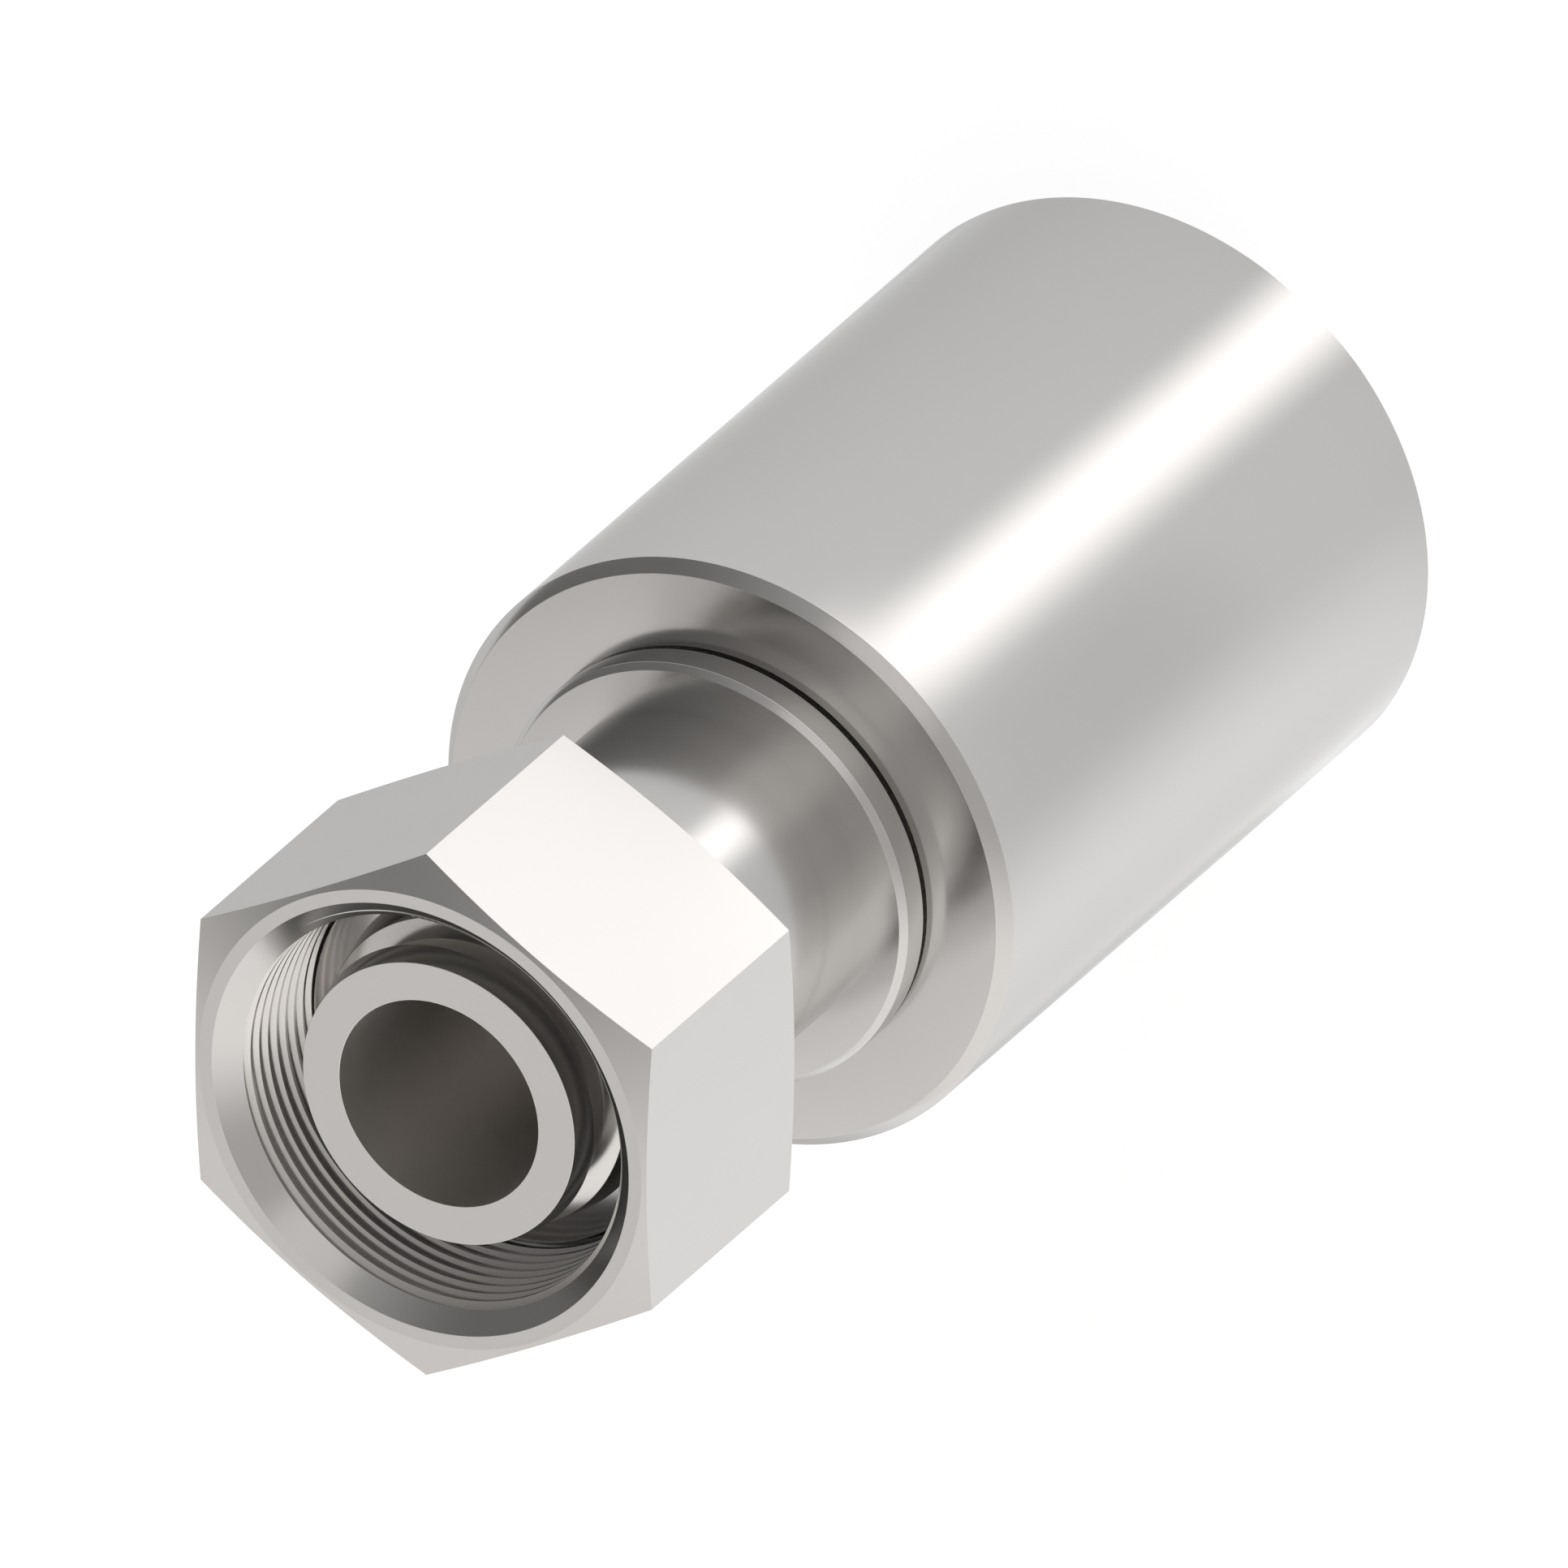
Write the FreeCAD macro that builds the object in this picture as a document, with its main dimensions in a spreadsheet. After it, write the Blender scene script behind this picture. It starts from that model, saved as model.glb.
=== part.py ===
"""Straight hose fitting: a nipple with a swivelling hexagon nut and a plain crimp shell.

Millimetres. The fitting stands on the rear end of its shell, nut on top. +Z runs along
the axis from the hose end to the coupling end, and the origin is the centre of the
shell's rear end. Corners of the hexagon point along +Y and -Y.
"""
import FreeCAD
import Part
import Sketcher
import os
import re

FULL_TURN = 360.0

doc = FreeCAD.newDocument("hose_fitting")

# Driving dimensions: name, millimetres (degrees for angles), meaning
DRIVING = [
    # nipple, coupling end
    ("bore_d", "26.45", "flow bore, right through the nipple"),
    ("nose_wall", "4.825", "wall between flow bore and the cone's small end"),
    ("cone_half_angle", "12", "half of the 24 degree sealing cone"),
    ("nose_length", "13.25", "nose face to the head's front face"),
    ("seal_groove_start", "3.35", "nose face to the seal groove's front edge"),
    ("seal_groove_floor", "4.6", "length of the seal groove's floor"),
    ("seal_groove_mouth", "5.05", "length of the seal groove at the cone"),
    ("seal_groove_depth", "1.44", "depth of the seal groove at its front edge"),
    ("head_step", "3.125", "how far the head stands out from the shank"),
    ("head_width", "4.95", "length of the head's cylinder"),
    # nipple, shank and collar
    ("shank_wall", "7.9", "wall between flow bore and shank"),
    ("shank_length", "39.2", "collar to the head's back"),
    ("collar_step", "5.925", "how far the collar stands out from the shank"),
    ("collar_width", "4.95", "length of the collar"),
    ("collar_chamfer", "0.75", "bevel on both edges of the collar"),
    ("collar_gap", "0.35", "open gap between collar and shell"),
    # nipple, hose tail
    ("lock_depth", "2.1", "depth of the groove that the shell's lip closes on"),
    ("shoulder_width", "4.3", "shoulder behind the lock groove"),
    ("tail_wall", "3.275", "wall of the hose tail at the barbs' crests"),
    ("tail_recess", "4", "tail end inside the shell's rear end"),
    ("tail_lead", "4.5", "length of the taper at the tail's end"),
    ("tail_taper", "1.6", "how far that taper comes in"),
    ("barb_count", "10", "barbs on the hose tail"),
    ("barb_depth", "1.1", "depth of a barb"),
    ("barb_land", "1.2", "flat crest of a barb"),
    # crimp shell
    ("shell_length", "97.4", "length of the shell"),
    ("shell_wall", "10.75", "wall of the shell at its teeth"),
    ("shell_chamfer", "1.45", "bevel on the shell's outer edges"),
    ("hose_space", "10.35", "room for the hose wall between tail and shell"),
    ("mouth_rim", "0.2", "how much smaller the mouth is than the collar"),
    ("mouth_depth", "4", "depth of the mouth in front of the lip"),
    ("lip_width", "5", "thickness of the shell's inner lip"),
    ("lip_play", "0.05", "play of the lip in its groove"),
    ("tooth_count", "9", "rings of teeth inside the shell"),
    ("tooth_depth", "2.2", "depth between the teeth"),
    ("tooth_land", "1.6", "flat crest of a tooth"),
    ("stop_width", "5", "plain ring between the teeth and the lip"),
    ("entry_depth", "4", "depth of the flared entry for the hose"),
    ("entry_flare", "2", "how far that entry opens"),
    # swivel nut
    ("nut_length", "34.4", "length of the nut"),
    ("nut_wall", "4", "wall between thread and flat"),
    ("nut_bevel", "0.6", "flat to the edge of the round end face"),
    ("nut_bevel_angle", "15", "slope of the bevel on the hexagon's ends"),
    ("thread_pitch", "2", "pitch of the thread"),
    ("thread_length", "19.5", "nut face to the end of the thread"),
    ("head_clearance", "0.6675", "thread crest to head, which passes through it"),
    ("countersink_rim", "1.73", "thread root to the countersink's edge"),
    ("relief_step", "0.3", "thread relief below the thread root"),
    ("relief_width", "2", "length of the thread relief"),
    ("head_play", "0.2", "rear bore to head, which passes through it"),
    ("rear_edge", "0.5", "bevel on the rear bore"),
    ("channel_height", "8.59", "nut's rear face to the ring's channel"),
    ("channel_play", "0.15", "play of the ring in its channel"),
    # retaining ring
    ("ring_bite", "0.75", "how far the ring reaches into its channel"),
    ("ring_play", "0.875", "shank to ring"),
    ("ring_opening", "6", "open gap between the ring's ends"),
    ("ring_seat", "0.3", "ring to the back of the head"),
]

# Dimensions that follow: radii from the axis outwards, then heights
DERIVED = [
    ("bore_r", "bore_d / 2"),
    ("nose_r", "bore_r + nose_wall"),
    ("cone_slope", "tan(cone_half_angle)"),
    ("shank_r", "bore_r + shank_wall"),
    ("head_r", "shank_r + head_step"),
    ("collar_r", "shank_r + collar_step"),
    ("lock_r", "shank_r - lock_depth"),
    ("lip_r", "lock_r + lip_play"),
    ("tail_r", "bore_r + tail_wall"),
    ("socket_r", "tail_r + hose_space"),
    ("shell_r", "socket_r + shell_wall"),
    ("mouth_r", "collar_r - mouth_rim"),
    ("thread_minor_r", "head_r + head_clearance"),
    ("thread_major_r", "thread_minor_r + 0.54127 * thread_pitch"),
    ("relief_r", "thread_major_r + relief_step"),
    ("countersink_r", "thread_major_r + countersink_rim"),
    ("flat_r", "thread_major_r + nut_wall"),
    ("corner_r", "flat_r / cos(30)"),
    ("face_ring_r", "flat_r - nut_bevel"),
    ("rear_bore_r", "head_r + head_play"),
    ("wire_r", "(rear_bore_r - shank_r + ring_bite - ring_play) / 2"),
    ("ring_r", "rear_bore_r + ring_bite - wire_r"),
    # heights on the nipple, from the tail's end
    ("collar_rear", "shell_length + collar_gap - tail_recess"),
    ("lock_front", "collar_rear - collar_gap - mouth_depth + lip_play"),
    ("lock_rear", "lock_front - lip_width - 2 * lip_play"),
    ("shoulder_rear", "lock_rear - shoulder_width"),
    ("barb_pitch", "(shoulder_rear - tail_lead) / (barb_count + 0.5)"),
    ("collar_front", "collar_rear + collar_width"),
    ("head_back", "collar_front + shank_length"),
    ("head_edge", "head_back + head_step"),
    ("head_front", "head_edge + head_width"),
    ("nose_face", "head_front + nose_length"),
    ("seal_front", "nose_face - seal_groove_start"),
    ("seal_floor_end", "seal_front - seal_groove_floor"),
    ("seal_mouth_end", "seal_front - seal_groove_mouth"),
    ("seal_front_r", "nose_r + (nose_face - seal_front) * cone_slope"),
    ("seal_floor_r", "seal_front_r - seal_groove_depth"),
    ("seal_mouth_r", "nose_r + (nose_face - seal_mouth_end) * cone_slope"),
    ("cone_end_r", "nose_r + nose_length * cone_slope"),
    # heights on the shell, from its rear end
    ("lip_front", "shell_length - mouth_depth"),
    ("lip_rear", "lip_front - lip_width"),
    ("tooth_pitch", "(lip_rear - stop_width - entry_depth) / (tooth_count + 0.5)"),
    # heights on the nut, from its rear face
    ("bevel_out_r", "corner_r + nut_bevel"),
    ("bevel_drop", "(bevel_out_r - face_ring_r) * tan(nut_bevel_angle)"),
    ("thread_end", "nut_length - thread_length"),
    ("relief_end", "thread_end - relief_width"),
    ("relief_foot", "relief_end - relief_r + rear_bore_r"),
    ("countersink_foot", "nut_length - countersink_r + thread_minor_r"),
    # places of the parts along the axis
    ("ring_height", "tail_recess + head_back + ring_r - shank_r - (wire_r + ring_seat) * sqrt(2)"),
    ("nut_height", "ring_height - channel_height"),
]

sheet = doc.addObject("Spreadsheet::Sheet", "Sizes")
for row, (alias, number, meaning) in enumerate(DRIVING, start=1):
    sheet.set(f"A{row}", alias)
    sheet.set(f"B{row}", number)
    sheet.setAlias(f"B{row}", alias)
    sheet.set(f"C{row}", meaning)
for row, (alias, formula) in enumerate(DERIVED, start=len(DRIVING) + 1):
    sheet.set(f"A{row}", alias)
    sheet.set(f"B{row}", "=" + formula)
    sheet.setAlias(f"B{row}", alias)
doc.recompute()

ALIASES = {entry[0] for entry in DRIVING + DERIVED}


def bound(text):
    """Turn a formula in sheet names into an expression that any object can use."""
    return re.sub(r"[a-z][a-z_]*", lambda word: named(word.group()), text)


def named(word):
    """Point a sheet name at the sheet, and leave any other word alone."""
    return f"Sizes.{word}" if word in ALIASES else word


def value(text):
    """Present value of a formula in sheet names."""
    return float(sheet.evalExpression(text))


def new_body(label, height):
    """A body named after its part, standing at the given height on the axis."""
    body = doc.addObject("PartDesign::Body", label)
    body.Label = label
    body.setExpression("Placement.Base.z", bound(height))
    return body


def origin_plane(body, role):
    """One of the body's own origin planes."""
    return next(item for item in body.Origin.OriginFeatures if item.Role == role)


def new_sketch(body, name, role):
    """An empty sketch on one of the body's origin planes."""
    sketch = body.newObject("Sketcher::SketchObject", name)
    sketch.AttachmentSupport = (origin_plane(body, role), [""])
    sketch.MapMode = "FlatFace"
    return sketch


def drive(sketch, name, constraint, text):
    """Add a constraint whose size follows a formula."""
    index = sketch.addConstraint(constraint)
    sketch.renameConstraint(index, name)
    sketch.setExpression(f"Constraints.{name}", bound(text))


def pin_corner(sketch, line, radius, height):
    """Fix the start of a line at a radius and a height, both formulas."""
    if radius == "0":
        sketch.addConstraint(Sketcher.Constraint("PointOnObject", line, 1, -2))
    else:
        reach = Sketcher.Constraint("DistanceX", -1, 1, line, 1, value(radius))
        drive(sketch, f"radius_{line}", reach, radius)
    if height == "0":
        sketch.addConstraint(Sketcher.Constraint("PointOnObject", line, 1, -1))
    else:
        rise = Sketcher.Constraint("DistanceY", -1, 1, line, 1, value(height))
        drive(sketch, f"height_{line}", rise, height)


def outline(body, name, corners):
    """Half section in the XZ plane: a closed line through (radius, height) corners."""
    sketch = new_sketch(body, name, "XZ_Plane")
    points = [FreeCAD.Vector(value(radius), value(height), 0) for radius, height in corners]
    count = len(points)
    for line in range(count):
        sketch.addGeometry(Part.LineSegment(points[line], points[(line + 1) % count]), False)
    for line in range(count):
        joint = Sketcher.Constraint("Coincident", line, 2, (line + 1) % count, 1)
        sketch.addConstraint(joint)
    for line, (radius, height) in enumerate(corners):
        pin_corner(sketch, line, radius, height)
    return sketch


def ring_outline(body, name, centre_radius, height, section_radius):
    """Half section of a round ring: a circle beside the axis."""
    sketch = new_sketch(body, name, "XZ_Plane")
    centre = FreeCAD.Vector(value(centre_radius), value(height), 0)
    circle = Part.Circle(centre, FreeCAD.Vector(0, 0, 1), value(section_radius))
    sketch.addGeometry(circle, False)
    reach = Sketcher.Constraint("DistanceX", -1, 1, 0, 3, value(centre_radius))
    drive(sketch, "centre_radius", reach, centre_radius)
    if height == "0":
        sketch.addConstraint(Sketcher.Constraint("PointOnObject", 0, 3, -1))
    else:
        rise = Sketcher.Constraint("DistanceY", -1, 1, 0, 3, value(height))
        drive(sketch, "centre_height", rise, height)
    section = Sketcher.Constraint("Radius", 0, value(section_radius))
    drive(sketch, "section_radius", section, section_radius)
    return sketch


def turn(body, name, sketch, angle="360"):
    """Add material by turning a half section about the axis."""
    feature = body.newObject("PartDesign::Revolution", name)
    feature.Profile = sketch
    feature.ReferenceAxis = (sketch, ["V_Axis"])
    feature.setExpression("Angle", bound(angle))
    doc.recompute()
    return feature


def turn_away(body, name, sketch):
    """Cut material away by turning a half section about the axis."""
    before = body.Shape.Volume
    feature = body.newObject("PartDesign::Groove", name)
    feature.Profile = sketch
    feature.ReferenceAxis = (sketch, ["V_Axis"])
    feature.Angle = FULL_TURN
    doc.recompute()
    if body.Shape.Volume >= before:
        raise RuntimeError(f"{name} cuts nothing")
    return feature


def repeat(body, name, feature, sketch, pitch, count):
    """Repeat a feature along the axis at an even pitch."""
    pattern = body.newObject("PartDesign::LinearPattern", name)
    pattern.Originals = [feature]
    pattern.Direction = (sketch, ["V_Axis"])
    pattern.setExpression("Length", bound(f"{pitch} * ({count} - 1)"))
    pattern.setExpression("Occurrences", bound(count))
    body.Tip = pattern
    doc.recompute()
    return pattern


def build_nipple():
    """One turned piece: cone and head, shank, collar, lock groove and barbed tail."""
    body = new_body("nipple", "tail_recess")
    section = outline(body, "nipple_section", [
        ("bore_r", "0"),
        ("tail_r - tail_taper", "0"),
        ("tail_r", "tail_lead"),
        ("tail_r", "shoulder_rear"),
        ("shank_r", "shoulder_rear"),
        ("shank_r", "lock_rear"),
        ("lock_r", "lock_rear"),
        ("lock_r", "lock_front"),
        ("shank_r", "lock_front"),
        ("shank_r", "collar_rear"),
        ("collar_r - collar_chamfer", "collar_rear"),
        ("collar_r", "collar_rear + collar_chamfer"),
        ("collar_r", "collar_front - collar_chamfer"),
        ("collar_r - collar_chamfer", "collar_front"),
        ("shank_r", "collar_front"),
        ("shank_r", "head_back"),
        ("head_r", "head_edge"),
        ("head_r", "head_front"),
        ("cone_end_r", "head_front"),
        ("seal_mouth_r", "seal_mouth_end"),
        ("seal_floor_r", "seal_floor_end"),
        ("seal_floor_r", "seal_front"),
        ("seal_front_r", "seal_front"),
        ("nose_r", "nose_face"),
        ("bore_r", "nose_face"),
    ])
    turn(body, "nipple_turned", section)
    notch = outline(body, "barb_section", [
        ("tail_r - barb_depth", "tail_lead + barb_land"),
        ("tail_r + barb_depth", "tail_lead + barb_land"),
        ("tail_r + barb_depth", "tail_lead + barb_pitch"),
        ("tail_r", "tail_lead + barb_pitch"),
    ])
    first = turn_away(body, "barb", notch)
    repeat(body, "barbs", first, notch, "barb_pitch", "barb_count")
    return body


def build_shell():
    """Plain sleeve with an inner lip at its mouth and rings of teeth inside."""
    body = new_body("crimp_shell", "0 * shell_length")
    section = outline(body, "shell_section", [
        ("socket_r + entry_flare", "0"),
        ("shell_r - shell_chamfer", "0"),
        ("shell_r", "shell_chamfer"),
        ("shell_r", "shell_length - shell_chamfer"),
        ("shell_r - shell_chamfer", "shell_length"),
        ("mouth_r", "shell_length"),
        ("mouth_r", "lip_front"),
        ("lip_r", "lip_front"),
        ("lip_r", "lip_rear"),
        ("socket_r", "lip_rear"),
        ("socket_r", "entry_depth"),
    ])
    turn(body, "shell_turned", section)
    notch = outline(body, "tooth_section", [
        ("socket_r - tooth_depth", "entry_depth + tooth_land"),
        ("socket_r + tooth_depth", "entry_depth + tooth_land"),
        ("socket_r", "entry_depth + tooth_pitch"),
        ("socket_r - tooth_depth", "entry_depth + tooth_pitch"),
    ])
    first = turn_away(body, "tooth_gap", notch)
    repeat(body, "tooth_gaps", first, notch, "tooth_pitch", "tooth_count")
    return body


def hexagon(body, name):
    """Regular hexagon round the axis with two corners on the Y axis."""
    sketch = new_sketch(body, name, "XY_Plane")
    reach = value("corner_r")
    spoke = FreeCAD.Vector(0, reach, 0)
    about_axis = FreeCAD.Vector(0, 0, 1)
    sides = 6
    corners = [
        FreeCAD.Rotation(about_axis, FULL_TURN / sides * side).multVec(spoke)
        for side in range(sides)
    ]
    for side in range(sides):
        sketch.addGeometry(Part.LineSegment(corners[side], corners[(side + 1) % sides]), False)
    circle = sketch.addGeometry(Part.Circle(FreeCAD.Vector(), about_axis, reach), True)
    sketch.addConstraint(Sketcher.Constraint("Coincident", circle, 3, -1, 1))
    for side in range(sides):
        sketch.addConstraint(Sketcher.Constraint("Coincident", side, 2, (side + 1) % sides, 1))
    for side in range(sides):
        sketch.addConstraint(Sketcher.Constraint("PointOnObject", side, 1, circle))
    for side in range(1, sides):
        sketch.addConstraint(Sketcher.Constraint("Equal", 0, side))
    sketch.addConstraint(Sketcher.Constraint("PointOnObject", 0, 1, -2))
    drive(sketch, "corner_radius", Sketcher.Constraint("Radius", circle, reach), "corner_r")
    return sketch


def build_nut():
    """Hexagon nut: bevelled ends, countersunk thread bore, relief and ring channel."""
    body = new_body("swivel_nut", "nut_height")
    pad = body.newObject("PartDesign::Pad", "hexagon_bar")
    pad.Profile = hexagon(body, "hexagon_section")
    pad.setExpression("Length", bound("nut_length"))
    doc.recompute()
    turn_away(body, "front_bevel", outline(body, "front_bevel_section", [
        ("face_ring_r", "nut_length"),
        ("bevel_out_r", "nut_length - bevel_drop"),
        ("bevel_out_r", "nut_length"),
    ]))
    turn_away(body, "rear_bevel", outline(body, "rear_bevel_section", [
        ("face_ring_r", "0"),
        ("bevel_out_r", "0"),
        ("bevel_out_r", "bevel_drop"),
    ]))
    turn_away(body, "stepped_bore", outline(body, "stepped_bore_section", [
        ("0", "0"),
        ("rear_bore_r + rear_edge", "0"),
        ("rear_bore_r", "rear_edge"),
        ("rear_bore_r", "relief_foot"),
        ("relief_r", "relief_end"),
        ("relief_r", "thread_end"),
        ("thread_minor_r", "thread_end"),
        ("thread_minor_r", "countersink_foot"),
        ("countersink_r", "nut_length"),
        ("0", "nut_length"),
    ]))
    turn_away(body, "ring_channel", ring_outline(
        body, "ring_channel_section", "ring_r", "channel_height", "wire_r + channel_play"))
    return body


def build_ring():
    """Split ring of round wire behind the nipple's head."""
    body = new_body("retaining_ring", "ring_height")
    section = ring_outline(body, "wire_section", "ring_r", "0", "wire_r")
    turn(body, "wire_ring", section, "360 - ring_opening / ring_r * 180 / pi")
    return body


parts = [build_nipple(), build_shell(), build_nut(), build_ring()]
doc.recompute()

for item in doc.Objects:
    if "Invalid" in item.State or "Error" in item.State:
        raise RuntimeError(f"{item.Label} failed: {item.State}")
for body in parts:
    shape = body.Shape
    if shape.isNull() or not shape.isValid() or len(shape.Solids) != 1:
        raise RuntimeError(f"{body.Label} is not one valid solid")

os.makedirs("parts", exist_ok=True)
for body in parts:
    body.Shape.exportStep(f"parts/{body.Label}.step")
    box = body.Shape.BoundBox
    print(f"{body.Label}: {body.Shape.Volume / 1000:.2f} cm3, z {box.ZMin:.3f} to {box.ZMax:.3f}")
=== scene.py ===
import math

import bmesh
import bpy
from mathutils import Matrix, Vector


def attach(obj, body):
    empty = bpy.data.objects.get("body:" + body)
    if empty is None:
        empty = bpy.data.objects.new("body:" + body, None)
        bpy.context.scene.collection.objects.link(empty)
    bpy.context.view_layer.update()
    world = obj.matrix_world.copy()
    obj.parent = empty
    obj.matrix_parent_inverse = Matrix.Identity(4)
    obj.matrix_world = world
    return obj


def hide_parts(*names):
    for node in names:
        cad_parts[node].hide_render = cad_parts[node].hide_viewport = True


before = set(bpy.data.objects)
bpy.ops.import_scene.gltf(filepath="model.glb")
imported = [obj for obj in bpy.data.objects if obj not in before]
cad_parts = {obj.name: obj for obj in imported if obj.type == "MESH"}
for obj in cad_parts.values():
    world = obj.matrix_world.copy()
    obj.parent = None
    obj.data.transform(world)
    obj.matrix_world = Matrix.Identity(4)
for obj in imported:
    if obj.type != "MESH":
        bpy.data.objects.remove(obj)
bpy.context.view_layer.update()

MM = 0.001
PICTURE_WIDTH = 1932
PIXELS_PER_MM = 10.7

# Fineness of the meshes, and the sharpest edge that is still shaded smooth
TURNS = 360
SMOOTH_UNDER = math.radians(9)

# Driving sizes in millimetres, as in the part's source: nipple
BORE_R = 13.225
NOSE_WALL = 4.825
SHANK_WALL = 7.9
TAIL_WALL = 3.275
HEAD_STEP = 3.125
COLLAR_STEP = 5.925
LOCK_DEPTH = 2.1
CONE_SLOPE = math.tan(math.radians(12))
NOSE_LENGTH = 13.25
HEAD_WIDTH = 4.95
SHANK_LENGTH = 39.2
COLLAR_WIDTH = 4.95
COLLAR_BEVEL = 0.75
COLLAR_GAP = 0.35
SHOULDER_WIDTH = 4.3
SEAL_START = 3.35
SEAL_FLOOR = 4.6
SEAL_MOUTH = 5.05
SEAL_DEPTH = 1.44
TAIL_REAR = 4.0
TAIL_LEAD = 4.5
TAIL_TAPER = 1.6
BARB_COUNT = 10
BARB_DEPTH = 1.1
BARB_LAND = 1.2

# Crimp shell, which stays 0.015 inside its solid and has a smaller rear bevel
SHELL_R = 37.585
SHELL_LENGTH = 97.4
SHELL_BEVEL = 1.45
SHELL_REAR_BEVEL = 0.4
HOSE_SPACE = 10.35
MOUTH_RIM = 0.2
MOUTH_DEPTH = 4.0
LIP_WIDTH = 5.0
LIP_PLAY = 0.05
TOOTH_COUNT = 9
TOOTH_DEPTH = 2.2
TOOTH_LAND = 1.6
STOP_WIDTH = 5.0
ENTRY_DEPTH = 4.0
ENTRY_FLARE = 2.0

# Swivel nut
NUT_LENGTH = 34.4
NUT_WALL = 4.0
HEX_SIDES = 6
HEX_BEVEL = 0.6
HEX_SLOPE = math.tan(math.radians(15))
END_BAND = 4.0
THREAD_MAJOR_R = 26.0
PITCH = 2.0
THREAD_LENGTH = 19.5
HEAD_CLEARANCE = 0.6675
COUNTERSINK_RIM = 1.73
RELIEF_STEP = 0.3
RELIEF_WIDTH = 2.0
HEAD_PLAY = 0.2
REAR_EDGE = 0.5
CHANNEL_HEIGHT = 8.59
CHANNEL_PLAY = 0.15

# Retaining ring
WIRE_R = 1.6
RING_BITE = 0.75
RING_SEAT = 0.3
RING_OPENING = 6.0

# Rounds where a sharp edge is taken off, and the marker of such a corner
SHELL_EDGE = 0.07
NIPPLE_EDGE = 0.06
BROKEN = True

# Radii that follow
NOSE_R = BORE_R + NOSE_WALL
SHANK_R = BORE_R + SHANK_WALL
TAIL_R = BORE_R + TAIL_WALL
HEAD_R = SHANK_R + HEAD_STEP
COLLAR_R = SHANK_R + COLLAR_STEP
LOCK_R = SHANK_R - LOCK_DEPTH
LIP_R = LOCK_R + LIP_PLAY
SOCKET_R = TAIL_R + HOSE_SPACE
MOUTH_R = COLLAR_R - MOUTH_RIM
THREAD_MINOR_R = HEAD_R + HEAD_CLEARANCE
RELIEF_R = THREAD_MAJOR_R + RELIEF_STEP
COUNTERSINK_R = THREAD_MAJOR_R + COUNTERSINK_RIM
FLAT_R = THREAD_MAJOR_R + NUT_WALL
FACE_RING_R = FLAT_R - HEX_BEVEL
REAR_BORE_R = HEAD_R + HEAD_PLAY
RING_R = REAR_BORE_R + RING_BITE - WIRE_R
CHANNEL_R = WIRE_R + CHANNEL_PLAY

# Heights that follow, from the shell's rear end
LIP_FRONT = SHELL_LENGTH - MOUTH_DEPTH
LIP_REAR = LIP_FRONT - LIP_WIDTH
LOCK_REAR = LIP_REAR - LIP_PLAY
LOCK_FRONT = LIP_FRONT + LIP_PLAY
SHOULDER_REAR = LOCK_REAR - SHOULDER_WIDTH
COLLAR_REAR = SHELL_LENGTH + COLLAR_GAP
COLLAR_FRONT = COLLAR_REAR + COLLAR_WIDTH
HEAD_BACK = COLLAR_FRONT + SHANK_LENGTH
HEAD_EDGE = HEAD_BACK + HEAD_STEP
HEAD_FRONT = HEAD_EDGE + HEAD_WIDTH
NOSE_FACE = HEAD_FRONT + NOSE_LENGTH
SEAL_FRONT = NOSE_FACE - SEAL_START
SEAL_FLOOR_REAR = SEAL_FRONT - SEAL_FLOOR
SEAL_MOUTH_REAR = SEAL_FRONT - SEAL_MOUTH
RING_Z = HEAD_BACK + RING_R - SHANK_R - (WIRE_R + RING_SEAT) * math.sqrt(2)
NUT_REAR = RING_Z - CHANNEL_HEIGHT
NUT_FRONT = NUT_REAR + NUT_LENGTH
THREAD_END = NUT_FRONT - THREAD_LENGTH
RELIEF_END = THREAD_END - RELIEF_WIDTH


def as_object(name, mesh):
    """Link a mesh as a new object."""
    piece = bpy.data.objects.new(name, mesh)
    bpy.context.scene.collection.objects.link(piece)
    return piece


def shade(mesh):
    """Smooth faces, with every edge over a small angle kept sharp."""
    work = bmesh.new()
    work.from_mesh(mesh)
    for face in work.faces:
        face.smooth = True
    for edge in work.edges:
        edge.smooth = len(edge.link_faces) == 2 and edge.calc_face_angle(0) < SMOOTH_UNDER
    work.to_mesh(mesh)
    work.free()


def outward(mesh):
    """Point all normals out of the closed mesh."""
    work = bmesh.new()
    work.from_mesh(mesh)
    bmesh.ops.recalc_face_normals(work, faces=work.faces)
    if work.calc_volume(signed=True) < 0:
        bmesh.ops.reverse_faces(work, faces=work.faces)
    work.to_mesh(mesh)
    work.free()


def on_circle(radius, angle, height):
    """Point at a radius, an angle and a height round the axis."""
    return (radius * math.cos(angle), radius * math.sin(angle), height)


def skin(name, rings, closed):
    """Closed mesh over equal rings of points, which end where they began or in two caps."""
    count = len(rings[0])
    verts = [tuple(value * MM for value in point) for ring in rings for point in ring]
    faces = []
    for step in range(len(rings) if closed else len(rings) - 1):
        here = step * count
        ahead = (step + 1) % len(rings) * count
        for index in range(count):
            after = (index + 1) % count
            faces.append((here + index, ahead + index, ahead + after, here + after))
    if not closed:
        faces.append(tuple(range(count)))
        faces.append(tuple(range(len(verts) - count, len(verts))))
    mesh = bpy.data.meshes.new(name)
    mesh.from_pydata(verts, [], faces)
    outward(mesh)
    return mesh


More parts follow.
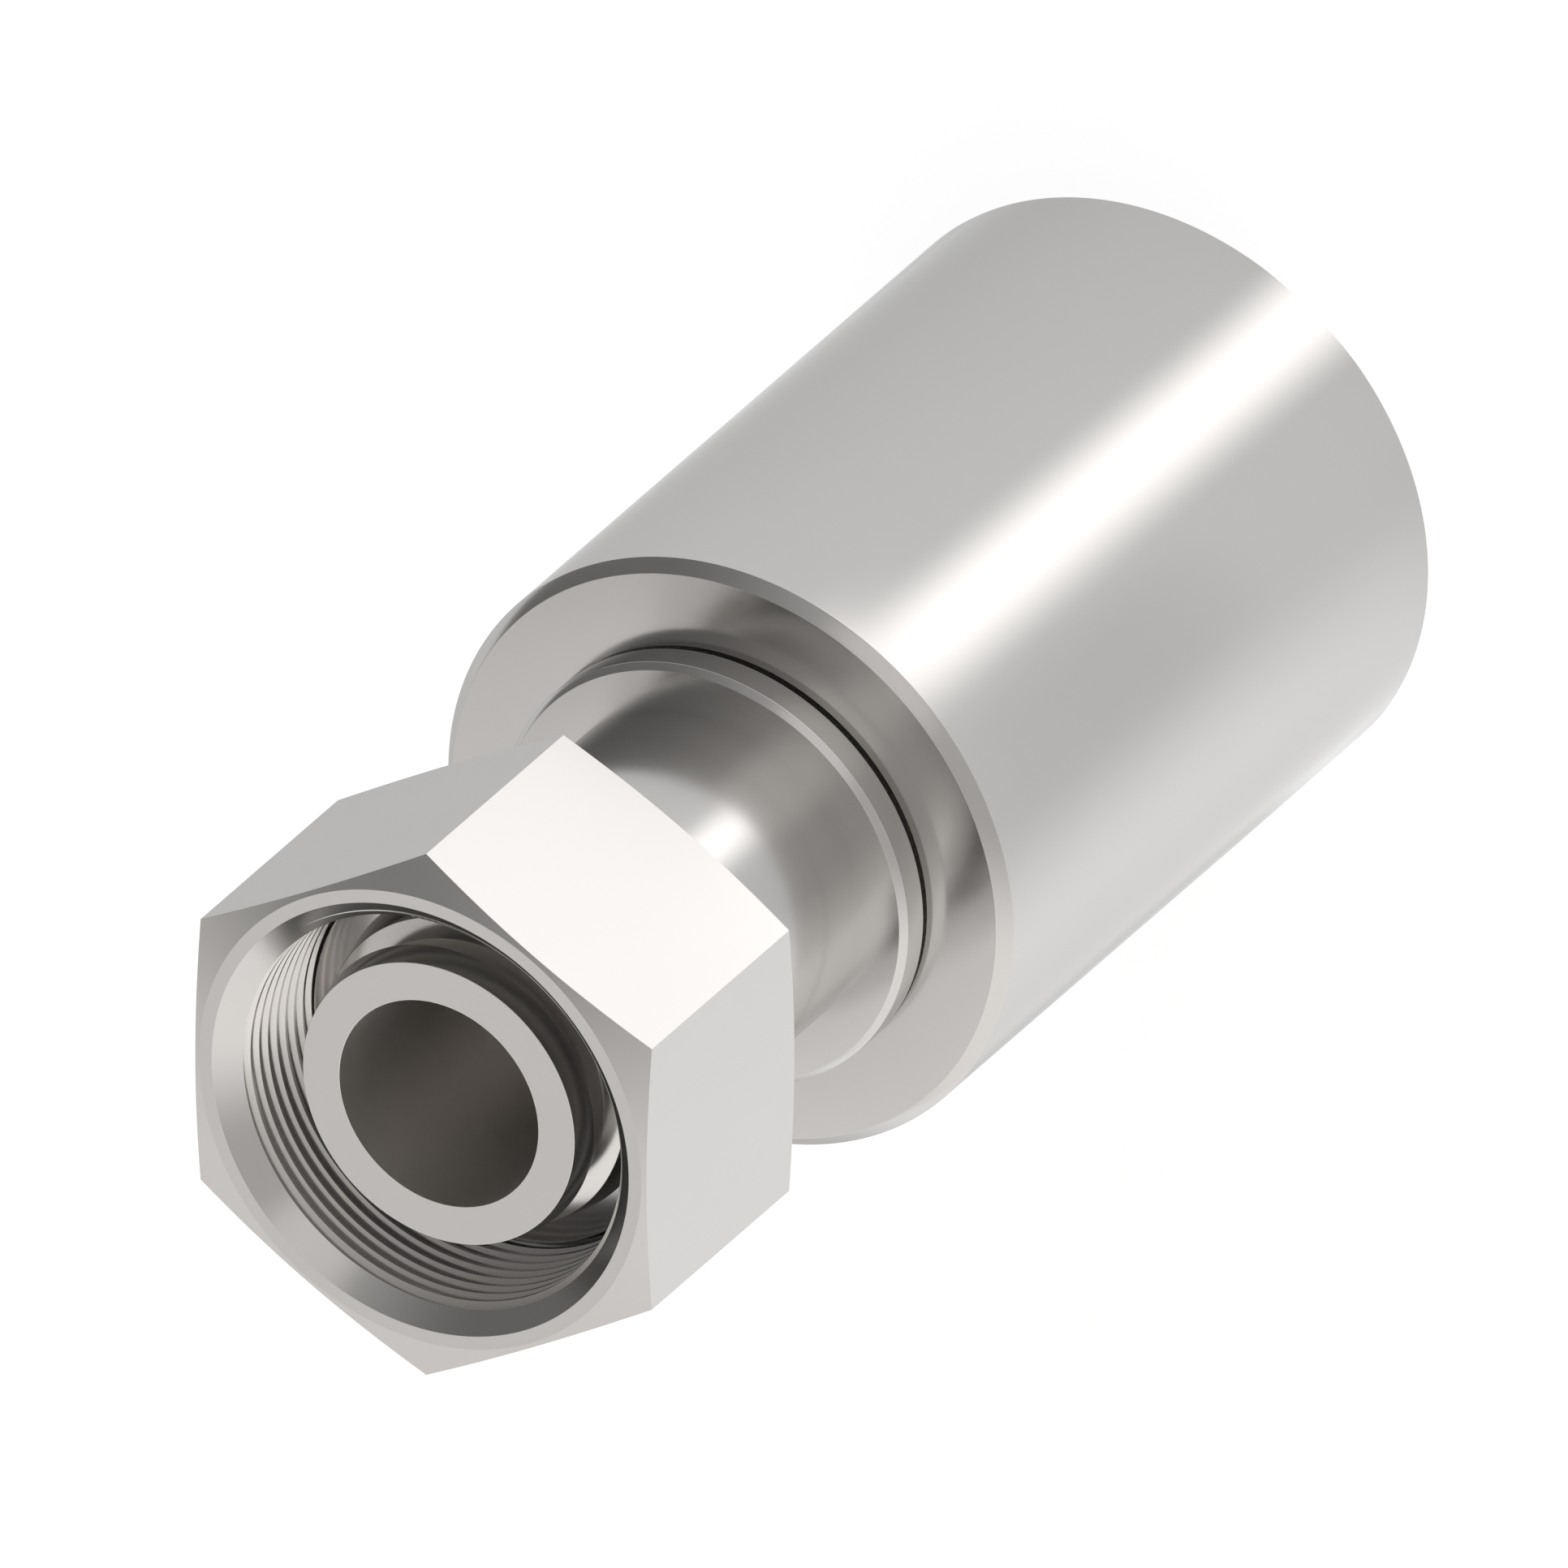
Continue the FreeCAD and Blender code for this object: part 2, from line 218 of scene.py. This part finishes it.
def break_edges(corners, size):
    """Closed line through (radius, height) corners, with a small round at each marked corner."""
    path = []
    arc_steps = 3
    for index, corner in enumerate(corners):
        here = Vector(corner[:2])
        if len(corner) == 2:
            path.append(here)
            continue
        before = Vector(corners[index - 1][:2])
        after = Vector(corners[(index + 1) % len(corners)][:2])
        start = here + (before - here).normalized() * size
        end = here + (after - here).normalized() * size
        for step in range(arc_steps + 1):
            share = step / arc_steps
            rest = 1 - share
            path.append(start * rest ** 2 + here * 2 * share * rest + end * share ** 2)
    return path


def lathe(name, path):
    """Turn a closed (radius, height) line about the axis."""
    rings = []
    for step in range(TURNS):
        angle = 2 * math.pi * step / TURNS
        rings.append([on_circle(radius, angle, height) for radius, height in path])
    return skin(name, rings, closed=True)


def shell_path():
    """Half section of the crimp shell with its rings of teeth."""
    pitch = (LIP_REAR - STOP_WIDTH - ENTRY_DEPTH) / (TOOTH_COUNT + 0.5)
    corners = [
        (SOCKET_R + ENTRY_FLARE, 0),
        (SHELL_R - SHELL_REAR_BEVEL, 0, BROKEN),
        (SHELL_R, SHELL_REAR_BEVEL, BROKEN),
        (SHELL_R, SHELL_LENGTH - SHELL_BEVEL, BROKEN),
        (SHELL_R - SHELL_BEVEL, SHELL_LENGTH, BROKEN),
        (MOUTH_R, SHELL_LENGTH, BROKEN),
        (MOUTH_R, LIP_FRONT),
        (LIP_R, LIP_FRONT, BROKEN),
        (LIP_R, LIP_REAR, BROKEN),
        (SOCKET_R, LIP_REAR),
    ]
    for tooth in range(TOOTH_COUNT, 0, -1):
        top = ENTRY_DEPTH + pitch * tooth
        corners.append((SOCKET_R, top, BROKEN))
        corners.append((SOCKET_R + TOOTH_DEPTH, top))
        corners.append((SOCKET_R, top - pitch + TOOTH_LAND, BROKEN))
    corners.append((SOCKET_R, ENTRY_DEPTH))
    return break_edges(corners, SHELL_EDGE)


def cone_radius(height):
    """Radius of the sealing cone at a height."""
    return NOSE_R + (NOSE_FACE - height) * CONE_SLOPE


def nipple_path():
    """Half section of the nipple with its barbs."""
    base = TAIL_REAR + TAIL_LEAD
    pitch = (SHOULDER_REAR - base) / (BARB_COUNT + 0.5)
    corners = [
        (BORE_R, TAIL_REAR, BROKEN),
        (TAIL_R - TAIL_TAPER, TAIL_REAR, BROKEN),
        (TAIL_R, base),
    ]
    for barb in range(BARB_COUNT):
        low = base + pitch * barb
        corners.append((TAIL_R, low + BARB_LAND, BROKEN))
        corners.append((TAIL_R - BARB_DEPTH, low + BARB_LAND))
        corners.append((TAIL_R, low + pitch, BROKEN))
    seal_floor_r = cone_radius(SEAL_FRONT) - SEAL_DEPTH
    corners += [
        (TAIL_R, SHOULDER_REAR),
        (SHANK_R, SHOULDER_REAR, BROKEN),
        (SHANK_R, LOCK_REAR, BROKEN),
        (LOCK_R, LOCK_REAR),
        (LOCK_R, LOCK_FRONT),
        (SHANK_R, LOCK_FRONT, BROKEN),
        (SHANK_R, COLLAR_REAR),
        (COLLAR_R - COLLAR_BEVEL, COLLAR_REAR, BROKEN),
        (COLLAR_R, COLLAR_REAR + COLLAR_BEVEL, BROKEN),
        (COLLAR_R, COLLAR_FRONT - COLLAR_BEVEL, BROKEN),
        (COLLAR_R - COLLAR_BEVEL, COLLAR_FRONT, BROKEN),
        (SHANK_R, COLLAR_FRONT),
        (SHANK_R, HEAD_BACK),
        (HEAD_R, HEAD_EDGE, BROKEN),
        (HEAD_R, HEAD_FRONT, BROKEN),
        (cone_radius(HEAD_FRONT), HEAD_FRONT),
        (cone_radius(SEAL_MOUTH_REAR), SEAL_MOUTH_REAR, BROKEN),
        (seal_floor_r, SEAL_FLOOR_REAR),
        (seal_floor_r, SEAL_FRONT),
        (cone_radius(SEAL_FRONT), SEAL_FRONT, BROKEN),
        (NOSE_R, NOSE_FACE, BROKEN),
        (BORE_R, NOSE_FACE, BROKEN),
    ]
    return break_edges(corners, NIPPLE_EDGE)


def nut_bore():
    """Line down the nut's inside: countersink, thread bore, relief, rear bore and channel."""
    line = [
        (COUNTERSINK_R, NUT_FRONT),
        (THREAD_MINOR_R, NUT_FRONT - COUNTERSINK_R + THREAD_MINOR_R),
        (THREAD_MINOR_R, THREAD_END),
        (RELIEF_R, THREAD_END),
        (RELIEF_R, RELIEF_END),
        (REAR_BORE_R, RELIEF_END - RELIEF_R + REAR_BORE_R),
    ]
    mouth = math.acos((REAR_BORE_R - RING_R) / CHANNEL_R)
    arc_steps = 12
    for step in range(arc_steps + 1):
        angle = mouth * (1 - 2 * step / arc_steps)
        line.append((RING_R + CHANNEL_R * math.cos(angle), RING_Z + CHANNEL_R * math.sin(angle)))
    line.append((REAR_BORE_R, NUT_REAR + REAR_EDGE))
    line.append((REAR_BORE_R + REAR_EDGE, NUT_REAR))
    return line


def nut_side(angle):
    """Line up the outside of the hexagon at an angle, with a bevel and a band of faces at both ends."""
    side_width = 360 / HEX_SIDES
    from_flat = (math.degrees(angle) + side_width / 2) % side_width - side_width / 2
    wall = FLAT_R / math.cos(math.radians(from_flat))
    drop = (wall - FACE_RING_R) * HEX_SLOPE
    return [
        (FACE_RING_R, NUT_REAR),
        (wall, NUT_REAR + drop),
        (wall, NUT_REAR + drop + END_BAND),
        (wall, NUT_FRONT - drop - END_BAND),
        (wall, NUT_FRONT - drop),
        (FACE_RING_R, NUT_FRONT),
    ]


def nut_blank():
    """Hexagon nut before its thread is cut."""
    inner = nut_bore()
    rings = []
    for step in range(TURNS):
        angle = 2 * math.pi * step / TURNS
        section = nut_side(angle) + inner
        rings.append([on_circle(radius, angle, height) for radius, height in section])
    return skin("nut_blank", rings, closed=True)


def thread_cutter():
    """Right-hand helical ridge that cuts the thread out of the nut's bore, its start given."""
    steps_per_turn = 180
    low = 146.9
    high = NUT_FRONT + 1.6
    first_angle = 2.3 + math.pi
    root_half = 0.125
    crest_half = 0.755
    inside_r = 24.55
    section = [
        (inside_r, -crest_half),
        (THREAD_MINOR_R, -crest_half),
        (THREAD_MAJOR_R, -root_half),
        (THREAD_MAJOR_R, root_half),
        (THREAD_MINOR_R, crest_half),
        (inside_r, crest_half),
    ]
    rings = []
    for step in range(int((high - low) / PITCH * steps_per_turn) + 1):
        turn = (step + 0.5) / steps_per_turn
        angle = 2 * math.pi * turn + first_angle
        height = low + PITCH * turn
        rings.append([on_circle(radius, angle, height + offset) for radius, offset in section])
    return skin("thread_cutter", rings, closed=False)


def cut(target_mesh, tool_mesh):
    """Exact difference of two closed meshes."""
    target = as_object("cut_target", target_mesh)
    tool = as_object("cut_tool", tool_mesh)
    step = target.modifiers.new("cut", "BOOLEAN")
    step.operation = "DIFFERENCE"
    step.solver = "EXACT"
    step.object = tool
    bpy.context.view_layer.update()
    graph = bpy.context.evaluated_depsgraph_get()
    result = bpy.data.meshes.new_from_object(target.evaluated_get(graph))
    bpy.data.objects.remove(target)
    bpy.data.objects.remove(tool)
    return result


def wire_ring():
    """Split ring of round wire with its opening near +X."""
    along = 220
    around = 40
    opening = RING_OPENING / RING_R / 2
    rings = []
    for step in range(along + 1):
        angle = opening + (2 * math.pi - 2 * opening) * step / along
        ring = []
        for part in range(around):
            turn = 2 * math.pi * part / around
            radius = RING_R + WIRE_R * math.cos(turn)
            height = RING_Z + WIRE_R * math.sin(turn)
            ring.append(on_circle(radius, angle, height))
        rings.append(ring)
    return skin("retaining_ring_wire", rings, closed=False)


# Places of the colour mix node's sockets, whose names are used more than once
MIX_FACTOR = 0
MIX_A = 6
MIX_B = 7
MIX_RESULT = 2


class Graph:
    """Small helper that adds and wires shader nodes."""

    def __init__(self, owner):
        owner.use_nodes = True
        self.tree = owner.node_tree
        self.tree.nodes.clear()

    def add(self, kind, inputs=None, **settings):
        """Add a node, with its settings and with values or links on its inputs."""
        node = self.tree.nodes.new(kind)
        for key, value in settings.items():
            setattr(node, key, value)
        for key, value in (inputs or {}).items():
            self.feed(node.inputs[key], value)
        return node

    def feed(self, socket, value):
        """Link a socket, or set its value."""
        if isinstance(value, bpy.types.NodeSocket):
            self.tree.links.new(value, socket)
        else:
            socket.default_value = value

    def math(self, operation, *values):
        """Result of a math node."""
        return self.add("ShaderNodeMath", dict(enumerate(values)), operation=operation).outputs[0]

    def product(self, first, *others):
        """All values multiplied."""
        for other in others:
            first = self.math("MULTIPLY", first, other)
        return first

    def total(self, first, *others):
        """All values added."""
        for other in others:
            first = self.math("ADD", first, other)
        return first

    def length(self, x, y):
        """Length of a flat vector."""
        return self.math("SQRT", self.total(self.product(x, x), self.product(y, y)))

    def dot(self, vector, direction):
        """Dot product of a vector and a fixed direction."""
        node = self.add("ShaderNodeVectorMath", {0: vector, 1: direction}, operation="DOT_PRODUCT")
        return node.outputs["Value"]

    def ramp(self, value, low, high, to_low=0.0, to_high=1.0):
        """Smooth step from one value to another as the input goes from low to high."""
        inputs = {"Value": value, "From Min": low, "From Max": high, "To Min": to_low, "To Max": to_high}
        node = self.add("ShaderNodeMapRange", inputs, interpolation_type="SMOOTHSTEP")
        return node.outputs["Result"]

    def mix(self, factor, first, second):
        """Blend of two colours."""
        inputs = {MIX_FACTOR: factor, MIX_A: first, MIX_B: second}
        return self.add("ShaderNodeMix", inputs, data_type="RGBA").outputs[MIX_RESULT]

    def noise(self, place, scale, detail, roughness):
        """Noise of a scale in features per metre."""
        inputs = {"Vector": place, "Scale": scale, "Detail": detail, "Roughness": roughness}
        return self.add("ShaderNodeTexNoise", inputs).outputs["Fac"]


# Noises of the metal: scale in features per metre, detail and roughness
TURNED_NOISE = (5200.0, 2.0, 0.55)
CLOUD_NOISE = (70.0, 3.0, 0.5)
GRAIN_NOISE = (2600.0, 1.0, 0.5)

# How the noises change the metal's tone, gloss and relief, and the depth of the relief in metres
DARKER = 0.985
PALER = 1.012
CLOUD_LIMITS = (0.3, 0.7)
LESS_ROUGH = 0.93
MORE_ROUGH = 1.05
MARK_GLOSS = 0.06
MARK_DRIFT = 0.02
GRAIN_SHARE = 0.5
RELIEF_DEPTH = 0.00001


def metal(name, colour, rough, mark, edge=0.7, bare=1.0):
    """Plated steel: fine turned marks round the axis, faint cloudiness in gloss and tone."""
    material = bpy.data.materials.new(name)
    graph = Graph(material)
    place = graph.add("ShaderNodeTexCoord").outputs["Object"]
    x, y, z = graph.add("ShaderNodeSeparateXYZ", {"Vector": place}).outputs
    drift = graph.product(graph.total(x, y), MARK_DRIFT)
    turned = graph.add("ShaderNodeCombineXYZ", {"X": graph.length(x, y), "Y": z, "Z": drift}).outputs[0]
    fine = graph.noise(turned, *TURNED_NOISE)
    cloud = graph.noise(place, *CLOUD_NOISE)
    grain = graph.noise(place, *GRAIN_NOISE)
    light = tuple(min(1.0, part * PALER) for part in colour) + (1.0,)
    dark = tuple(part * DARKER for part in colour) + (1.0,)
    tone = graph.mix(cloud, dark, light)
    cloudy = graph.ramp(cloud, *CLOUD_LIMITS, rough * LESS_ROUGH, rough * MORE_ROUGH)
    gloss = graph.total(cloudy, graph.product(fine, rough * MARK_GLOSS))
    relief = graph.total(fine, graph.product(grain, GRAIN_SHARE))
    bump = graph.add("ShaderNodeBump", {"Strength": mark, "Distance": RELIEF_DEPTH, "Height": relief})
    shader = graph.add("ShaderNodeBsdfPrincipled",
                       {"Base Color": tone, "Roughness": gloss, "Metallic": bare,
                        "Specular Tint": (edge, edge, edge, 1.0), "Normal": bump.outputs["Normal"]})
    graph.add("ShaderNodeOutputMaterial", {"Surface": shader.outputs[0]})
    return material


# Plated steel on the turned sides; copies of it with painted light on faces to the front, the nut's rear
# face and the bores, and with painted shade in the thread; and the wire's own steel
PLATE = metal("plated_steel", (0.495, 0.485, 0.475), 0.16, 0.015, bare=0.95)
# Lighter copy of the plated steel for faces to the front: painted light.
FRONT_LIT = metal("plated_steel_front_lit", (0.650, 0.637, 0.624), 0.16, 0.015, bare=0.97)
# Lighter copy of the plated steel for the nut's rear face: painted light.
REAR_LIT = metal("plated_steel_rear_lit", (0.56, 0.55, 0.54), 0.16, 0.015)
# Lighter, rougher copy for the bores: its lighter tone and larger matt share are painted light, lifting
# the shade inside them.
BORE_LIT = metal("plated_steel_bore_lit", (0.78, 0.75, 0.72), 0.36, 0.01, edge=0.7, bare=0.90)
# Lighter, warmer copy for the thread, with a larger matt share: painted shade, lifting and warming the
# dark of its grooves.
THREAD_SHADE = metal("plated_steel_thread_shade", (0.585, 0.565, 0.545), 0.15, 0.01, edge=0.85, bare=0.65)
WIRE = metal("spring_steel_wire", (0.84, 0.82, 0.80), 0.30, 0.03, edge=0.8, bare=0.80)

# Where the copies with painted light and shade go: how far a normal points to the front or the rear, and
# limits of the bores in millimetres
FRONT_ON = 0.975
REAR_ON = -0.9
SOCKET_LIMIT_R = 30.0
SOCKET_LIMIT_Z = 96.0
BORE_LIMIT_R = BORE_R + 0.075
NUT_BORE_LIMIT_R = RELIEF_R + 0.2
NUT_BORE_LIMIT_Z = 147.9
THREAD_LIMIT_Z = 165.0
REAR_LIMIT_Z = NUT_REAR + 2.0


def outer_finish_and_light(normal):
    """Lighter copy with painted light on faces to the front, plain plate elsewhere."""
    return FRONT_LIT if normal.z > FRONT_ON else PLATE


def shell_finish_and_light(centre, normal):
    """Lighter copy with painted light in the socket, and the outer choice elsewhere."""
    if math.hypot(centre.x, centre.y) < SOCKET_LIMIT_R and centre.z < SOCKET_LIMIT_Z:
        return BORE_LIT
    return outer_finish_and_light(normal)


def nipple_finish_and_light(centre, normal):
    """Lighter copy with painted light in the flow bore, and the outer choice elsewhere."""
    if math.hypot(centre.x, centre.y) < BORE_LIMIT_R:
        return BORE_LIT
    return outer_finish_and_light(normal)


def nut_finish_and_light(centre, normal):
    """Lighter copies with painted light on the nut's rear face and in its rear bore, a copy with painted
    shade in the thread, and the outer choice elsewhere.
    """
    in_bore = math.hypot(centre.x, centre.y) < NUT_BORE_LIMIT_R
    if normal.z < REAR_ON and centre.z < REAR_LIMIT_Z:
        return REAR_LIT
    if in_bore and centre.z < NUT_BORE_LIMIT_Z:
        return BORE_LIT
    if in_bore and centre.z < THREAD_LIMIT_Z:
        return THREAD_SHADE
    return outer_finish_and_light(normal)


def ring_finish(centre, normal):
    """The wire's own steel all over."""
    return WIRE


def paint(mesh, choose):
    """Give each face the material that its centre and normal call for."""
    used = []
    for face in mesh.polygons:
        material = choose(face.center / MM, face.normal)
        if material not in used:
            used.append(material)
            mesh.materials.append(material)
        face.material_index = used.index(material)


# Pieces: name, mesh, the chooser of each face's material with its painted light and shade, body and the
# node that each stands for
PIECES = [
    ("shell_turned", lathe("shell_turned", shell_path()), shell_finish_and_light, "stem", "crimp_shell"),
    ("nipple_turned", lathe("nipple_turned", nipple_path()), nipple_finish_and_light, "stem", "nipple"),
    ("nut_threaded", cut(nut_blank(), thread_cutter()), nut_finish_and_light, "nut", "swivel_nut"),
    ("retaining_ring_wire", wire_ring(), ring_finish, "ring", "retaining_ring"),
]
for name, mesh, finish_and_light, body, node in PIECES:
    shade(mesh)
    paint(mesh, finish_and_light)
    piece = as_object(name, mesh)
    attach(piece, body)
    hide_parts(node)

# Floor, in metres
SPAN = 12.0
floor_mesh = bpy.data.meshes.new("floor")
floor_mesh.from_pydata([(-SPAN, -SPAN, 0), (SPAN, -SPAN, 0), (SPAN, SPAN, 0), (-SPAN, SPAN, 0)], [],
                       [(0, 1, 2, 3)])
floor = as_object("floor", floor_mesh)

# Light of the floor: its plain level, what its brighter areas add and what the dimmer one takes away
PLAIN_LEVEL = 0.90
SIDE_LEVEL = 0.42
STRIP_LEVELS = (1.5, 1.0)
PATCH_LEVEL = -0.13
MATT_GREY = 0.20

# Where those lights lie: bearings in degrees round two points of the floor, and distances in metres
LIGHTS_CENTRE = (0.0126, 0.0145)
EDGE_POINT = (0.0269, -0.0233)
EDGE_WAY = math.radians(-40.9)
SIDE_STARTS = (-124, -98)
SIDE_ENDS = (-5, -52)
EDGE_SHADE_STARTS = (-70, -48)
EDGE_SHADE_SHARE = 1.11
EDGE_SHADE_REACH = (0.004, 0.025)
STRIP_STARTS = (33, 60)
STRIP_ENDS = (84, 60)
STRIP_FADES = (0.122, 0.130)
FLARE_REACH = (0.124, 0.132)
FLARE_WIDTH = 16.0
PATCH_X = (0.0556, 0.0826)
PATCH_STARTS = (-30, 0)
PATCH_ENDS = (42, 18)
PATCH_REACH = (0.16, 0.11)
WHITE = (1.0, 1.0, 1.0, 1.0)
STRIP_WHITE = (1.0, 0.98, 0.98, 1.0)


def polar(graph, place, centre, way):
    """Bearing in degrees from a way, and distance, of a floor point seen from a centre."""
    x = graph.math("SUBTRACT", place["X"], centre[0])
    y = graph.math("SUBTRACT", place["Y"], centre[1])
    along = graph.total(graph.product(x, math.cos(way)), graph.product(y, math.sin(way)))
    aside = graph.math("SUBTRACT", graph.product(y, math.cos(way)), graph.product(x, math.sin(way)))
    bearing = graph.product(graph.math("ARCTAN2", aside, along), math.degrees(1))
    return bearing, graph.length(x, y)


def floor_level(graph, bearing, reach, band, edge_bearing, edge_reach, x):
    """Strength of the floor's light, more to one side and in the strip, less in the patch."""
    edge_shade = graph.product(graph.ramp(edge_bearing, *EDGE_SHADE_STARTS, EDGE_SHADE_SHARE, 0.0),
                               graph.ramp(edge_reach, *EDGE_SHADE_REACH))
    side = graph.product(graph.ramp(bearing, *SIDE_STARTS), graph.ramp(bearing, *SIDE_ENDS),
                         graph.math("SUBTRACT", 1.0, edge_shade))
    patch = graph.product(graph.ramp(x, *PATCH_X), graph.ramp(bearing, *PATCH_STARTS),
                          graph.ramp(bearing, *PATCH_ENDS), graph.ramp(reach, *PATCH_REACH))
    strip = graph.product(band, graph.ramp(reach, *STRIP_FADES, *STRIP_LEVELS))
    raised = graph.total(strip, graph.product(side, SIDE_LEVEL))
    return graph.total(raised, graph.product(patch, PATCH_LEVEL), PLAIN_LEVEL)


def lit_table():
    """White floor that shines a little and still takes the object's shadow."""
    material = bpy.data.materials.new("lit_table")
    graph = Graph(material)
    vector = graph.add("ShaderNodeTexCoord").outputs["Object"]
    place = graph.add("ShaderNodeSeparateXYZ", {"Vector": vector}).outputs
    bearing, reach = polar(graph, place, LIGHTS_CENTRE, 0.0)
    edge_bearing, edge_reach = polar(graph, place, EDGE_POINT, EDGE_WAY)
    flare = graph.ramp(reach, *FLARE_REACH, 0.0, FLARE_WIDTH)
    band = graph.product(graph.ramp(bearing, *STRIP_STARTS),
                         graph.ramp(graph.math("SUBTRACT", bearing, flare), *STRIP_ENDS))
    level = floor_level(graph, bearing, reach, band, edge_bearing, edge_reach, place["X"])
    tint = graph.mix(band, WHITE, STRIP_WHITE)
    glow = graph.add("ShaderNodeEmission", {"Color": tint, "Strength": level})
    matt = graph.add("ShaderNodeBsdfDiffuse", {"Color": (MATT_GREY, MATT_GREY, MATT_GREY, 1.0)})
    both = graph.add("ShaderNodeAddShader", {0: glow.outputs[0], 1: matt.outputs[0]})
    graph.add("ShaderNodeOutputMaterial", {"Surface": both.outputs[0]})
    return material


floor_mesh.materials.append(lit_table())

# Studio round the object: how its grey changes with X and Y of a direction, and two soft spots in it.
# The dim spot lies where faces to the front mirror it into the picture.
SKY_FRONT = (0.04, -0.64)
SKY_ACROSS = (-0.75, 0.45, 0.22, 0.68)
SKY_LOW_SIDE = (-0.2, 0.3, 1.17, 1.4)
BRIGHT_SPOT = Vector((0.37, 0.65, 0.66)).normalized()
BRIGHT_SPOT_SIZE = (0.92, 0.99, 0.0, 0.36)
DIM_SPOT = Vector((-0.433, -0.5, 0.75))
DIM_SPOT_SIZE = (0.972, 0.993, 0.0, 0.30)
SKY_TINT = (1.0, 0.985, 0.97, 1.0)


def studio():
    """World of soft greys, lighter towards minus Y and plus X."""
    world = bpy.data.worlds.new("studio")
    graph = Graph(world)
    way = graph.add("ShaderNodeTexCoord").outputs["Generated"]
    parts = graph.add("ShaderNodeSeparateXYZ", {"Vector": way}).outputs
    front = graph.ramp(parts["Y"], *SKY_FRONT)
    top = graph.total(graph.ramp(parts["X"], *SKY_ACROSS),
                      graph.ramp(graph.dot(way, BRIGHT_SPOT), *BRIGHT_SPOT_SIZE))
    low_side = graph.ramp(parts["X"], *SKY_LOW_SIDE)
    bright = graph.total(graph.product(top, graph.math("SUBTRACT", 1.0, front)),
                         graph.product(front, low_side))
    dim = graph.ramp(graph.dot(way, DIM_SPOT), *DIM_SPOT_SIZE)
    shine = graph.math("SUBTRACT", bright, dim)
    back = graph.add("ShaderNodeBackground", {"Color": SKY_TINT, "Strength": shine})
    graph.add("ShaderNodeOutputWorld", {"Surface": back.outputs[0]})
    return world


bpy.context.scene.world = studio()

# Weak round lamp
LAMP_PLACE = Vector((0.30, -0.57, 0.76)) * 1.1
lamp_data = bpy.data.lights.new("softbox", "AREA")
lamp_data.shape = "DISK"
lamp_data.size = 0.6
lamp_data.energy = 0.2
lamp = bpy.data.objects.new("softbox", lamp_data)
bpy.context.scene.collection.objects.link(lamp)
lamp_turn = LAMP_PLACE.to_track_quat("Z", "Y").to_matrix().to_4x4()
lamp.matrix_world = Matrix.Translation(LAMP_PLACE) @ lamp_turn

# Camera: parallel view, turned and tipped by 30 degrees, and aimed from a point of the axis, in metres
VIEW_COS = math.cos(math.radians(30))
VIEW_SIN = math.sin(math.radians(30))
RIGHT = Vector((VIEW_COS, 0, -VIEW_SIN))
UP = Vector((-VIEW_SIN ** 2, VIEW_COS, -VIEW_SIN * VIEW_COS))
TOWARDS = Vector((VIEW_SIN * VIEW_COS, VIEW_SIN, VIEW_COS ** 2))
AXIS_POINT = Vector((0, 0, 0.166094))
TO_RIGHT = 0.041196
TO_UP = 0.038047
MIDDLE = AXIS_POINT + RIGHT * TO_RIGHT + UP * TO_UP
CAMERA_DISTANCE = 0.6
camera_data = bpy.data.cameras.new("camera")
camera_data.type = "ORTHO"
camera_data.ortho_scale = PICTURE_WIDTH / PIXELS_PER_MM * MM
camera = bpy.data.objects.new("camera", camera_data)
bpy.context.scene.collection.objects.link(camera)
camera_turn = Matrix((RIGHT, UP, TOWARDS)).transposed().to_4x4()
camera.matrix_world = Matrix.Translation(MIDDLE + TOWARDS * CAMERA_DISTANCE) @ camera_turn
bpy.context.scene.camera = camera
bpy.context.scene.view_settings.view_transform = "Standard"
